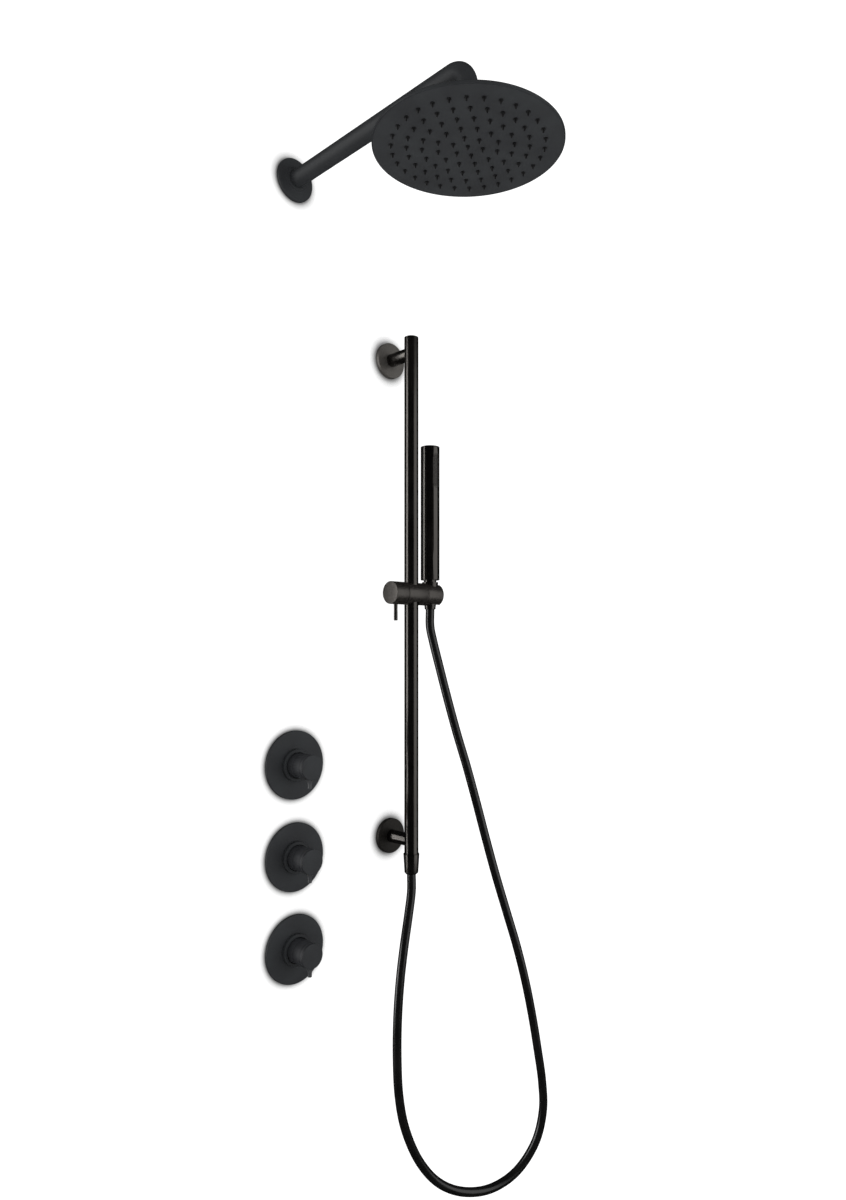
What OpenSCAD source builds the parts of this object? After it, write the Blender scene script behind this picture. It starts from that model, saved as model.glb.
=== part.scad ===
// Concealed rain shower set: overhead shower on a wall arm, slide rail with hand
// shower and hose, three round wall valves, and the brass and copper parts in the wall.
// The finished wall is the plane y = 0, the room is on the -Y side and +Z is up. The
// origin is where the axis of the rail's lower bracket meets the finished wall.

/* [Slide rail] */
// Outside diameter of the rail tube
rail_dia = 22; // [18:1:26]
// Wall thickness of the rail tube
rail_wall = 1.5; // [1:0.25:2.5]
// Height of the upper bracket above the lower one
bracket_spacing = 760; // [600:10:920]
// Length of rail above the upper bracket
rail_over = 25; // [15:1:60]
// Distance from the finished wall to the rail's axis
rail_standoff = 53; // [48:1:70]
// Height of the seam between the rail tube and the outlet body
seam_height = 23; // [18:1:40]
// Length of the outlet body below the lower bracket
outlet_drop = 20; // [16:1:30]
// Diameter of the bracket posts
post_dia = 20; // [18:1:22]
// Diameter of the bracket flanges
flange_dia = 55; // [50:1:70]
// Thickness of the bracket flanges
flange_thk = 7; // [7:0.5:10]

/* [Slider and hand shower] */
// Height of the slider above the lower bracket
slider_height = 385; // [300:5:600]
// Diameter of the slider, its knob and its cradle
slider_dia = 35; // [33:1:42]
// Length of the slider body
slider_len = 41.4; // [38:0.2:50]
// Length of the clamp knob
knob_len = 25.6; // [22:0.2:34]
// Distance from the slider's end face to the hand shower's axis
hand_gap = 18.2; // [18.2:0.1:26]
// Length of the clamp lever below the knob
clamp_lever_len = 25; // [15:1:35]
// Diameter of the hand shower
hand_dia = 30; // [28:1:32]
// Length of the hand shower
hand_len = 212; // [170:1:240]
// Wall thickness of the hand shower
hand_wall = 1.5; // [1:0.25:2]
// Length of the spray strip
strip_len = 54; // [36:6:72]

/* [Hose] */
// Outside diameter of the hose
hose_dia = 14; // [12:0.5:15]
// Length of the upper cone nut
cone_len = 43; // [40:1:50]
// Length of the lower nut
lower_nut_len = 32; // [28:1:36]

/* [Rain shower] */
// Diameter of the rain shower
head_dia = 225; // [200:5:300]
// Thickness of the rain shower at its rim
head_rim = 4.5; // [4.5:0.5:10]
// Distance between nozzle rings
nozzle_pitch = 18; // [14:0.5:24]
// Distance from the finished wall to the rain shower's axis
arm_reach = 346; // [280:1:420]
// Outside diameter of the shower arm
arm_dia = 24; // [22:1:26]
// Wall thickness of the shower arm
arm_wall = 2; // [1.5:0.25:2.5]
// Centreline radius of the arm's bend
arm_bend = 26; // [24:1:40]
// Height of the arm above the lower bracket
arm_height = 980; // [900:10:1150]
// Distance from the rail's axis to the arm's and valves' axis
valve_offset = 185; // [150:5:260]
// Diameter of the arm's flange
arm_flange_dia = 60; // [54:1:70]

/* [Valves] */
// Diameter of the valve plates
plate_dia = 100; // [80:1:120]
// Thickness of the valve plates
plate_thk = 4.5; // [3:0.5:6]
// Distance between valve centres
valve_pitch = 134; // [125:1:160]
// Height of the lower bracket above the middle valve
valve_drop = 4; // [0:1:8]
// Diameter of the valve handles
handle_dia = 36; // [32:1:36]
// Distance from the wall to the handle's front face
handle_front = 45.5; // [42:0.5:55]
// Diameter of the handle levers
lever_dia = 6; // [5:0.5:8]
// Length of the handle lever below the handle
lever_len = 12.5; // [8:0.5:25]
// Depth of the pipes' centre behind the finished wall
wall_depth = 52; // [50:1:70]

/* [Hidden] */
$fn = 64;

// Clearances: fixed pieces, turning pieces, and faces of pieces that move apart
fit = 0.05;
run = 0.1;
split = 0.3;
// Overshoot of a cut past the face that it opens
over = 1;

coat = "#2b2c2e";
satin = "#161616";
silicone = "#101010";
brass = "#b08d4c";
copper = "#b8683e";
steel = "#a8a9ab";
nylon = "#d8d4c8";

rail_r = rail_dia / 2;
rail_y = -rail_standoff;
rail_top = bracket_spacing + rail_over;
post_r = post_dia / 2;
screw_off = post_r + 5;
boss_r = screw_off + 5;
thread_r = 10.4;      // G 1/2 pipe thread, outside
nipple_r = 10;        // hose and hand shower threads, outside
pipe_r = 7.5;         // 15 mm copper pipe
pipe_bore_r = 6.5;
cup_depth = 13;       // how far a pipe goes into its soldered cup
elbow_front = 5;      // wall elbows start this far behind the finished wall
thread_end = 22;      // depth of the threaded ends in the wall elbows
elbow_arm = 26;       // from an elbow's centre to the end of its cup

arm_x = -valve_offset;
arm_r = arm_dia / 2;
arm_bore_r = arm_r - arm_wall;
arm_tail = 14;        // straight stretch below the bend
arm_end_z = arm_height - arm_bend - arm_tail;
ball_r = 10;
stem_r = 5;
ball_shoulder = 8;
ball_drop = 15.5;     // from the shoulder to the ball's centre
ball_z = arm_end_z - ball_shoulder - ball_drop;
boss_drop = 23;       // from the ball's centre to the shell's crown
crown = 4;            // rise of the shell from rim to middle
neck_h = boss_drop - 9.5;
head_z = ball_z - boss_drop - crown - head_rim;
head_r = head_dia / 2;
nozzle_rings = floor((head_r - 20) / nozzle_pitch);
sheet_wall = 1.5;
tip_len = 4.5;

slider_r = slider_dia / 2;
slider_x0 = -rail_r - 7.6;
slider_x1 = slider_x0 + slider_len;
bush_wall = 1.9;
bush_h = 22;
bush_r = rail_r + run + bush_wall;
clamp_x = slider_x0 - 14.4;   // where the clamp lever stands
screw_in = 2.8;       // how far the clamp screw reaches into the slider
hand_x = slider_x1 + hand_gap;
cradle_x1 = hand_x + 15;
stud_r = 5;
cone_above = 20;      // cone nut's top above the slider's axis
cone_top_r = 13;
cone_low_r = 8.6;
cone_seat = 0.1;
nipple_len = 11;
hand_r = hand_dia / 2;
hand_z = slider_height + cone_above + 3.5;
hand_top = hand_z + hand_len;
strip_w = 12;

plug_len = 10;
washer_h = 2;
water_r = 5;

handle_r = handle_dia / 2;
plate_r = plate_dia / 2;
collar_r = handle_r + 5.5;
collar_in = handle_r + 1;
collar_out = 6;
sleeve_r = collar_r - 2.5;
handle_back = plate_thk + 1.5;
lever_y = 7;          // lever's axis behind the handle's front face
spindle_r = 5;
socket_front = 18;
cartridge_r = 15;
bonnet_front = 10;
valve_z = [valve_pitch - valve_drop, -valve_drop, -valve_pitch - valve_drop];
column_r = 16;
column_top = valve_z[0] + 46;
column_low = valve_z[2] - 26;
bar_thk = 4;
bar_off = 42;         // from the manifold's axis to a fixing hole
port_r = 4;
branch_arm = 34;      // from the column's axis to the end of its side cup
inlet_arm = 45;
inlet_r = 9.3;        // G 1/2 inlet thread, inside

// Points along the hose: from the lower nut's end, then up to the cone nut's end
hose_from = [0, rail_y, -outlet_drop - lower_nut_len];
hose_to = [hand_x, rail_y, slider_height + cone_above - cone_len];
hose_low = [
    [0, 0, 0], [0, 0, -28], [-6, 0, -63], [-16, 0, -113], [-24, 0, -163],
    [-29, 0, -218], [-30, 0, -278], [-27, -1, -338], [-16, -4, -393], [7, -11, -448],
    [40, -21, -491], [82, -35, -517], [130, -51, -525], [176, -66, -510],
    [211, -77, -472], [225, -82, -423], [222, -83, -373], [213, -81, -318]
];
hose_high = [
    [162, -77, -672], [149, -73, -612], [134, -67, -552], [116, -60, -492],
    [99, -52, -432], [84, -44, -372], [70, -36, -312], [56, -27, -252],
    [42, -18, -197], [28, -11, -142], [16, -5, -92], [6, -1, -52], [0, 0, -27], [0, 0, 0]
];
hose_sides = 10;
hose_steps = 2;

// ---------- Shared shapes ----------

// Cylinder along X, Y or Z between two values on that axis
module bar_x(y, z, x0, x1, r) {
    translate([x0, y, z]) rotate([0, 90, 0]) cylinder(h = x1 - x0, r = r);
}
module bar_y(x, z, y0, y1, r) {
    translate([x, y0, z]) rotate([-90, 0, 0]) cylinder(h = y1 - y0, r = r);
}
module bar_z(x, y, z0, z1, r) {
    translate([x, y, z0]) cylinder(h = z1 - z0, r = r);
}

// Turned piece that stands out of the wall: points are [radius, distance from the wall]
module turned_out(x, z, points) {
    translate([x, 0, z]) rotate([90, 0, 0]) rotate_extrude() polygon(points);
}

// Quarter bend of the shower arm
module bend(r) {
    translate([arm_x, -arm_reach + arm_bend, arm_height - arm_bend])
        rotate([0, 90, 0]) rotate([0, 0, 180])
            rotate_extrude(angle = 90) translate([arm_bend, 0]) circle(r = r);
}

// Elbow behind the wall, with a threaded front, a soldered cup and two screw ears.
// turn rotates the cup about the front's axis, from straight down.
module wall_elbow(x, z, turn) {
    back = wall_depth + 13;
    translate([x, 0, z]) rotate([0, turn, 0]) difference() {
        union() {
            bar_y(0, 0, elbow_front, back, 15);
            bar_z(0, wall_depth, -elbow_arm, 0, 10.5);
            for (side = [-1, 1]) {
                bar_y(side * 30, 0, back - 4, back, 9);
                translate([min(0, side * 30), back - 4, -9]) cube([30, 4, 18]);
            }
        }
        bar_y(0, 0, elbow_front - over, thread_end + fit, thread_r + fit);
        bar_y(0, 0, thread_end, wall_depth, pipe_bore_r);
        bar_z(0, wall_depth, -elbow_arm, 0, pipe_bore_r);
        bar_z(0, wall_depth, -elbow_arm - over, -elbow_arm + cup_depth, pipe_r + fit);
        for (side = [-1, 1])
            bar_y(side * 30, 0, back - 4 - over, back + over, 2.75);
    }
}

// ---------- Rain shower ----------

module head_shell() {
    color(coat) translate([arm_x, -arm_reach, head_z]) rotate_extrude() polygon([
        [head_r, 0], [head_r, head_rim - 1.5], [head_r - 1.5, head_rim],
        [24, head_rim + crown], [10.9, head_rim + crown], [10.9, head_rim + crown + neck_h],
        [6, head_rim + crown + neck_h], [6, head_rim + crown - sheet_wall],
        [24, head_rim + crown - sheet_wall], [head_r - 2.2, head_rim - sheet_wall],
        [head_r - sheet_wall, head_rim - 2.2], [head_r - sheet_wall, 0]
    ]);
}

module at_nozzles() {
    translate([arm_x, -arm_reach, head_z]) children();
    for (ring = [1 : nozzle_rings], k = [0 : 6 * ring - 1])
        translate([arm_x, -arm_reach, head_z])
            rotate([0, 0, -90 + 60 * k / ring]) translate([ring * nozzle_pitch, 0, 0])
                children();
}

module spray_plate() {
    color(coat) difference() {
        bar_z(arm_x, -arm_reach, head_z, head_z + sheet_wall, head_r - sheet_wall - fit);
        at_nozzles() translate([0, 0, -over]) cylinder(h = sheet_wall + 2 * over, r = 2.35);
    }
}

module spray_nozzles() {
    color(silicone) at_nozzles() rotate_extrude($fn = 24) polygon([
        [0.5, sheet_wall + 1], [3.4, sheet_wall + 1], [3.4, sheet_wall],
        [2.3, sheet_wall], [2.3, 0], [1.1, -tip_len], [0.5, -tip_len]
    ]);
}

module swivel_nut() {
    color(coat) translate([arm_x, -arm_reach, ball_z]) difference() {
        translate([0, 0, -boss_drop]) cylinder(h = boss_drop + 8, r = 15);
        translate([0, 0, -boss_drop - over]) cylinder(h = boss_drop + over - 8, r = 10.9 + fit);
        sphere(r = ball_r + 2);
    }
}

module swivel_liner() {
    color(nylon) translate([arm_x, -arm_reach, ball_z]) intersection() {
        difference() {
            sphere(r = ball_r + 2 - run);
            sphere(r = ball_r + run);
        }
        translate([0, 0, -7]) cylinder(h = 13.5, r = 2 * ball_r);
    }
}

module swivel_ball() {
    color(coat) translate([arm_x, -arm_reach, ball_z]) difference() {
        union() {
            sphere(r = ball_r);
            cylinder(h = ball_drop + ball_shoulder + arm_tail - 1, r = stem_r);
        }
        translate([0, 0, -ball_r - over]) cylinder(h = 6 * ball_r, r = 3.2);
    }
}

// Plug with a shoulder that closes the arm's end and holds the ball's stem
module arm_end() {
    color(coat) difference() {
        union() {
            bar_z(arm_x, -arm_reach, arm_end_z - ball_shoulder, arm_end_z, arm_r);
            bar_z(arm_x, -arm_reach, arm_end_z, arm_end_z + arm_tail - 1, arm_bore_r - fit);
        }
        bar_z(arm_x, -arm_reach, arm_end_z - ball_shoulder - over, arm_end_z + arm_tail,
            stem_r + fit);
    }
}

module shower_arm() {
    color(coat) difference() {
        union() {
            bar_y(arm_x, arm_height, -arm_reach + arm_bend, 1, arm_r);
            bend(arm_r);
            bar_z(arm_x, -arm_reach, arm_end_z, arm_height - arm_bend, arm_r);
        }
        bar_y(arm_x, arm_height, -arm_reach + arm_bend, 1 + over, arm_bore_r);
        bend(arm_bore_r);
        bar_z(arm_x, -arm_reach, arm_end_z - over, arm_height - arm_bend, arm_bore_r);
    }
}

module arm_nipple() {
    color(brass) difference() {
        union() {
            bar_y(arm_x, arm_height, -20, 2, arm_bore_r - fit);
            bar_y(arm_x, arm_height, 1, thread_end, thread_r);
        }
        bar_y(arm_x, arm_height, -20 - over, thread_end + over, pipe_bore_r);
    }
}

module arm_flange() {
    arm_flange_r = arm_flange_dia / 2;
    color(coat) turned_out(arm_x, arm_height, [
        [arm_r + fit, 0], [arm_flange_r, 0], [arm_flange_r, 4.5], [arm_flange_r - 1, 5.5],
        [arm_r + 4, 5.5], [arm_r + 3.5, 8.5], [arm_r + fit, 8.5]
    ]);
}

module arm_elbow() { color(brass) wall_elbow(arm_x, arm_height, 0); }

// ---------- Slide rail ----------

module rail_tube() {
    color(satin) difference() {
        bar_z(0, rail_y, seam_height, rail_top - sheet_wall, rail_r);
        bar_z(0, rail_y, seam_height - over, rail_top, rail_r - rail_wall);
        bar_y(0, bracket_spacing, rail_y, rail_y + 2 * rail_r, 5 + fit);
    }
}

module rail_cap() {
    color(satin) {
        bar_z(0, rail_y, rail_top - sheet_wall, rail_top, rail_r);
        bar_z(0, rail_y, rail_top - 8, rail_top - sheet_wall, rail_r - rail_wall - fit);
    }
}

// Post from the rail towards the wall, saddled to the rail and with a spigot into it
module bracket_post(z, y1, spigot_r, spigot_in) {
    difference() {
        bar_y(0, z, rail_y, y1, post_r);
        bar_z(0, rail_y, z - 2 * post_r, z + 2 * post_r, rail_r + fit);
    }
    bar_y(0, z, rail_y + rail_r - spigot_in, rail_y + rail_r + 2, spigot_r);
}

module upper_post() {
    color(satin) difference() {
        bracket_post(bracket_spacing, -3 - fit, 5, 4);
        bar_y(0, bracket_spacing, -22, 0, 7 + fit);
        bar_z(0, -16, bracket_spacing - 2 * post_r, bracket_spacing, 2.5 + fit);
    }
}

module post_grub_screw() {
    color(steel) difference() {
        bar_z(0, -16, bracket_spacing - post_r + 0.5, bracket_spacing - 7, 2.5);
        translate([0, -16, bracket_spacing - post_r]) cylinder(h = 2, r = 1.3, $fn = 6);
    }
}

module wall_boss() {
    color(steel) difference() {
        union() {
            bar_y(0, bracket_spacing, -3, 0, boss_r);
            bar_y(0, bracket_spacing, -20, -3, 7);
        }
        for (side = [-1, 1])
            bar_y(side * screw_off, bracket_spacing, -3 - over, over, 2.5 + fit);
    }
}

module wall_screws() {
    color(steel) for (side = [-1, 1]) difference() {
        union() {
            bar_y(side * screw_off, bracket_spacing, 0, 40, 2.5);
            bar_y(side * screw_off, bracket_spacing, -3, 0, 2.4);
            bar_y(side * screw_off, bracket_spacing, -5, -3, 4.2);
        }
        bar_y(side * screw_off, bracket_spacing, -6, -3.8, 1.6);
    }
}

// Cover flange with a recess behind it
module flange(z, recess_r) {
    r = flange_dia / 2;
    skin = flange_thk - 5.5;
    color(satin) turned_out(0, z, [
        [recess_r, 0], [r, 0], [r, flange_thk - 0.8], [r - 0.8, flange_thk],
        [post_r + fit, flange_thk], [post_r + fit, flange_thk - skin],
        [recess_r, flange_thk - skin]
    ]);
}
module upper_flange() { flange(bracket_spacing, boss_r + 0.5); }
module lower_flange() { flange(0, post_r + 3); }

module lower_post() {
    color(satin) difference() {
        union() {
            bracket_post(0, 2, 7.5, 4);
            bar_y(0, 0, 1, thread_end, thread_r);
        }
        bar_y(0, 0, rail_y, thread_end + over, water_r);
    }
}

module rail_outlet() {
    spigot = rail_r - rail_wall - fit;
    color(satin) difference() {
        union() {
            bar_z(0, rail_y, -outlet_drop, seam_height, rail_r);
            bar_z(0, rail_y, seam_height, seam_height + 12, spigot);
            bar_z(0, rail_y, -outlet_drop - nipple_len, -outlet_drop, nipple_r);
        }
        bar_z(0, rail_y, -outlet_drop - nipple_len - over, water_r, water_r);
        bar_y(0, 0, rail_y, rail_y + 2 * rail_r, water_r);
        bar_y(0, 0, rail_y + rail_r - 4 - fit, rail_y + 2 * rail_r, 7.5 + fit);
    }
}

module outlet_elbow() { color(brass) wall_elbow(0, 0, 90); }

// ---------- Slider ----------

// Bush with a slot behind the rail, so that the brake pad can close it on the rail
module rail_bush() {
    color(nylon) difference() {
        bar_z(0, rail_y, slider_height - bush_h / 2, slider_height + bush_h / 2, bush_r);
        bar_z(0, rail_y, slider_height - bush_h, slider_height + bush_h, rail_r + run);
        translate([-1, rail_y + rail_r / 2, slider_height - bush_h])
            cube([2, rail_r, 2 * bush_h]);
    }
}

module slider_body() {
    groove_r = bush_r + run;
    groove_h = bush_h / 2 + split;
    color(satin) difference() {
        bar_x(rail_y, slider_height, slider_x0, slider_x1, slider_r);
        bar_z(0, rail_y, slider_height - slider_r - over, slider_height + slider_r + over,
            rail_r + 0.6);
        bar_z(0, rail_y, slider_height - groove_h, slider_height + groove_h, groove_r);
        bar_x(rail_y, slider_height, slider_x0 - over, -rail_r, 4 + fit);
        bar_x(rail_y, slider_height, rail_r, slider_x1 + over, stud_r + run);
        bar_x(rail_y, slider_height, rail_r, bush_r + 3, stud_r + 2.5);
    }
}

module brake_pad() {
    color(nylon) bar_x(rail_y, slider_height, slider_x0 + screw_in + run, -bush_r - run, 4);
}

module clamp_screw() {
    color(steel) bar_x(rail_y, slider_height, clamp_x - 5, slider_x0 + screw_in, 3.95);
}

module clamp_knob() {
    color(satin) difference() {
        translate([slider_x0 - split - knob_len, rail_y, slider_height]) rotate([0, 90, 0])
            rotate_extrude() polygon([[0, 0], [slider_r - 0.8, 0], [slider_r, 0.8],
                [slider_r, knob_len], [0, knob_len]]);
        bar_x(rail_y, slider_height, clamp_x - 5 - fit, slider_x0 + over, 3.95 + fit);
        bar_z(clamp_x, rail_y, slider_height - slider_dia, slider_height, 3 + fit);
    }
}

module clamp_lever() {
    color(satin) translate([clamp_x, rail_y, slider_height - slider_r - clamp_lever_len])
        rotate_extrude() polygon([[0, 0], [2.4, 0], [3, 0.6],
            [3, slider_r + clamp_lever_len - 4], [0, slider_r + clamp_lever_len - 4]]);
}

// Outer shape of the cone nut, grown by a clearance
module cone_shape(grow, extra) {
    slope = (cone_top_r - cone_low_r) / cone_len;
    translate([hand_x, rail_y, slider_height + cone_above - cone_len - extra])
        cylinder(h = cone_len + 2 * extra, r1 = cone_low_r + grow - slope * extra,
            r2 = cone_top_r + grow + slope * extra);
}

module cradle() {
    color(satin) difference() {
        translate([slider_x1 + split, rail_y, slider_height]) rotate([0, 90, 0])
            rotate_extrude() polygon([[0, 0], [slider_r, 0],
                [slider_r, cradle_x1 - slider_x1 - split - 1.5],
                [slider_r - 1.5, cradle_x1 - slider_x1 - split],
                [0, cradle_x1 - slider_x1 - split]]);
        cone_shape(cone_seat, slider_r);
        translate([hand_x, rail_y - (hose_dia + 1) / 2, slider_height - slider_dia])
            cube([slider_dia, hose_dia + 1, 2 * slider_dia]);
        bar_x(rail_y, slider_height, slider_x1, slider_x1 + split + 4 + fit, stud_r + fit);
    }
}

module pivot_stud() {
    head = bush_r + split;
    color(steel) {
        bar_x(rail_y, slider_height, head, slider_x1 + split + 4, stud_r);
        bar_x(rail_y, slider_height, head, bush_r + 3 - split, stud_r + 2);
    }
}

// ---------- Hand shower ----------

module hose_cone() {
    top = slider_height + cone_above;
    color(satin) difference() {
        cone_shape(0, 0);
        bar_z(hand_x, rail_y, top - nipple_len, top + over, nipple_r + fit);
        bar_z(hand_x, rail_y, top - cone_len - over, top, water_r);
    }
}

module washer(x, z) {
    color(silicone) difference() {
        bar_z(x, rail_y, z, z + washer_h, nipple_r - fit);
        bar_z(x, rail_y, z - over, z + washer_h + over, water_r);
    }
}
module cone_washer() { washer(hand_x, slider_height + cone_above - nipple_len); }
module lower_washer() {
    washer(0, -outlet_drop - nipple_len - washer_h);
}

// Slot with round ends on the hand shower's front, grown by a clearance
module strip_slot(grow) {
    r = strip_w / 2 + grow;
    low = hand_top - 12 - strip_len + strip_w / 2;
    high = hand_top - 12 - strip_w / 2;
    for (z = [low, high]) bar_y(hand_x, z, rail_y - hand_dia, rail_y, r);
    translate([hand_x - r, rail_y - hand_dia, low]) cube([2 * r, hand_dia, high - low]);
}

module hand_body() {
    color(satin) difference() {
        bar_z(hand_x, rail_y, hand_z, hand_top - sheet_wall, hand_r);
        bar_z(hand_x, rail_y, hand_z - over, hand_top, hand_r - hand_wall);
        strip_slot(0);
    }
}

module hand_cap() {
    color(satin) {
        translate([hand_x, rail_y, hand_top - sheet_wall]) rotate_extrude()
            polygon([[0, 0], [hand_r, 0], [hand_r, sheet_wall - 0.6],
                [hand_r - 0.6, sheet_wall], [0, sheet_wall]]);
        bar_z(hand_x, rail_y, hand_top - 7, hand_top - sheet_wall,
            hand_r - hand_wall - fit);
    }
}

module hand_inlet() {
    color(satin) difference() {
        union() {
            bar_z(hand_x, rail_y, hand_z, hand_z + plug_len, hand_r - hand_wall - fit);
            bar_z(hand_x, rail_y, slider_height + cone_above - nipple_len + washer_h,
                hand_z, nipple_r);
        }
        bar_z(hand_x, rail_y, hand_z - 2 * nipple_len, hand_z + plug_len + over, water_r);
    }
}

// Silicone strip with rows of small nozzles
module spray_strip() {
    rows = floor(strip_len / 6);
    low = hand_top - 12 - strip_len / 2 - 6 * (rows - 1) / 2;
    color(silicone) {
        intersection() {
            difference() {
                bar_z(hand_x, rail_y, hand_z, hand_top, hand_r);
                bar_z(hand_x, rail_y, hand_z - over, hand_top + over,
                    hand_r - hand_wall);
            }
            strip_slot(-fit);
        }
        for (row = [0 : rows - 1], column = [-1 : 1])
            translate([hand_x, rail_y, low + 6 * row + (column == 0 ? 1.5 : 0)])
                rotate([0, 0, -90 + 13 * column]) rotate([0, 90, 0])
                    translate([0, 0, hand_r - 0.5]) cylinder(h = 1.5, r = 0.8, $fn = 16);
    }
}

// ---------- Hose ----------

module lower_nut() {
    seat = lower_nut_len - nipple_len - washer_h;
    color(satin) translate([0, rail_y, -outlet_drop - lower_nut_len]) rotate_extrude()
        polygon([
            [water_r, 0], [8.5, 0], [10.8, 2.5], [12.5, lower_nut_len - 1],
            [12, lower_nut_len - fit], [nipple_r + fit, lower_nut_len - fit],
            [nipple_r + fit, seat], [water_r, seat]
        ]);
}

// Point between b and c on the smooth curve through a, b, c, d
function smooth(a, b, c, d, t) = 0.5 * (2 * b + (c - a) * t
    + (2 * a - 5 * b + 4 * c - d) * t * t + (3 * b - 3 * c + d - a) * t * t * t);

function unit(v) = v / norm(v);

module hose() {
    p = concat([for (q = hose_low) hose_from + q], [for (q = hose_high) hose_to + q]);
    last = len(p) - 1;
    spans = concat([2 * p[0] - p[1]], p, [2 * p[last] - p[last - 1]]);
    line = concat([for (i = [1 : last], k = [0 : hose_steps - 1])
        smooth(spans[i - 1], spans[i], spans[i + 1], spans[i + 2], k / hose_steps)], [p[last]]);
    end = len(line) - 1;
    tangents = [for (i = [0 : end])
        i == 0 || i == end ? [0, 0, i == 0 ? -1 : 1] : unit(line[i + 1] - line[i - 1])];
    // The hose lies near an upright plane, so one side direction serves all rings
    side = unit([0.34, 0.94, 0]);
    rings = [for (i = [0 : end]) let (u = unit(cross(tangents[i], side)),
        v = cross(u, tangents[i])) [for (s = [0 : hose_sides - 1])
            let (a = 360 * s / hose_sides)
                line[i] + hose_dia / 2 * (cos(a) * u + sin(a) * v)]];
    points = [for (ring = rings) for (q = ring) q];
    faces = concat(
        [[for (s = [hose_sides - 1 : -1 : 0]) s]],
        [for (i = [0 : end - 1], s = [0 : hose_sides - 1])
            let (n = (s + 1) % hose_sides, a = i * hose_sides, b = a + hose_sides)
                [a + s, a + n, b + n, b + s]],
        [[for (s = [0 : hose_sides - 1]) end * hose_sides + s]]);
    color(silicone) polyhedron(points = points, faces = faces);
}

// ---------- Valves ----------

module valve_plate(z) {
    color(coat) turned_out(arm_x, z, [
        [sleeve_r + fit, 0], [plate_r, 0], [plate_r, plate_thk - 0.8],
        [plate_r - 0.8, plate_thk], [sleeve_r + fit, plate_thk]
    ]);
}
module head_plate() { valve_plate(valve_z[0]); }
module hand_plate() { valve_plate(valve_z[1]); }
module mixer_plate() { valve_plate(valve_z[2]); }

module valve_collars() {
    color(coat) for (z = valve_z) turned_out(arm_x, z, [
        [collar_in, plate_thk + collar_out], [collar_in, -bonnet_front],
        [sleeve_r, -bonnet_front], [sleeve_r, plate_thk], [collar_r, plate_thk],
        [collar_r, plate_thk + collar_out - 1], [collar_r - 1, plate_thk + collar_out]
    ]);
}

module valve_handle(z) {
    color(coat) difference() {
        turned_out(arm_x, z, [
            [0, handle_back], [handle_r, handle_back], [handle_r, handle_front - 0.8],
            [handle_r - 0.8, handle_front], [0, handle_front]
        ]);
        bar_y(arm_x, z, -handle_front + 3.5, -handle_back + over, spindle_r + fit);
        bar_z(arm_x, lever_y - handle_front, z - handle_dia, z, lever_dia / 2 + fit);
    }
}
module head_handle() { valve_handle(valve_z[0]); }
module hand_handle() { valve_handle(valve_z[1]); }
module mixer_handle() { valve_handle(valve_z[2]); }

// Lever with a flared root below the handle; it clamps the handle to the spindle
module valve_lever(z) {
    r = lever_dia / 2;
    reach = handle_r + lever_len;
    color(coat) translate([arm_x, lever_y - handle_front, z - reach]) rotate_extrude()
        polygon([[0, 0], [r - 0.5, 0], [r, 0.5], [r, lever_len - 6], [r + 1.6, lever_len],
            [r, lever_len], [r, reach - spindle_r], [0, reach - spindle_r]]);
}
module head_lever() { valve_lever(valve_z[0]); }
module hand_lever() { valve_lever(valve_z[1]); }
module mixer_lever() { valve_lever(valve_z[2]); }

module valve_spindle(z) {
    color(brass) bar_y(arm_x, z, -handle_front + 4, socket_front - 3, spindle_r);
}
module head_spindle() { valve_spindle(valve_z[0]); }
module hand_spindle() { valve_spindle(valve_z[1]); }
module mixer_spindle() { valve_spindle(valve_z[2]); }

module valve_cartridge(z) {
    color(nylon) difference() {
        union() {
            bar_y(arm_x, z, bonnet_front + 2, 44, cartridge_r - fit);
            bar_y(arm_x, z, 4, bonnet_front + 3, 9);
        }
        bar_y(arm_x, z, 4 - over, socket_front - 2, spindle_r + run);
    }
}
module head_cartridge() { valve_cartridge(valve_z[0]); }
module hand_cartridge() { valve_cartridge(valve_z[1]); }
module mixer_cartridge() { valve_cartridge(valve_z[2]); }

module bonnet_nuts() {
    color(brass) for (z = valve_z) difference() {
        translate([arm_x, bonnet_front, z]) rotate([-90, 0, 0])
            cylinder(h = socket_front - bonnet_front, r = 24, $fn = 6);
        bar_y(arm_x, z, bonnet_front - over, socket_front + over, 9 + fit);
        bar_y(arm_x, z, bonnet_front + 2 - fit, socket_front + over, cartridge_r);
    }
}

// ---------- Pipework in the wall ----------

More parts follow.
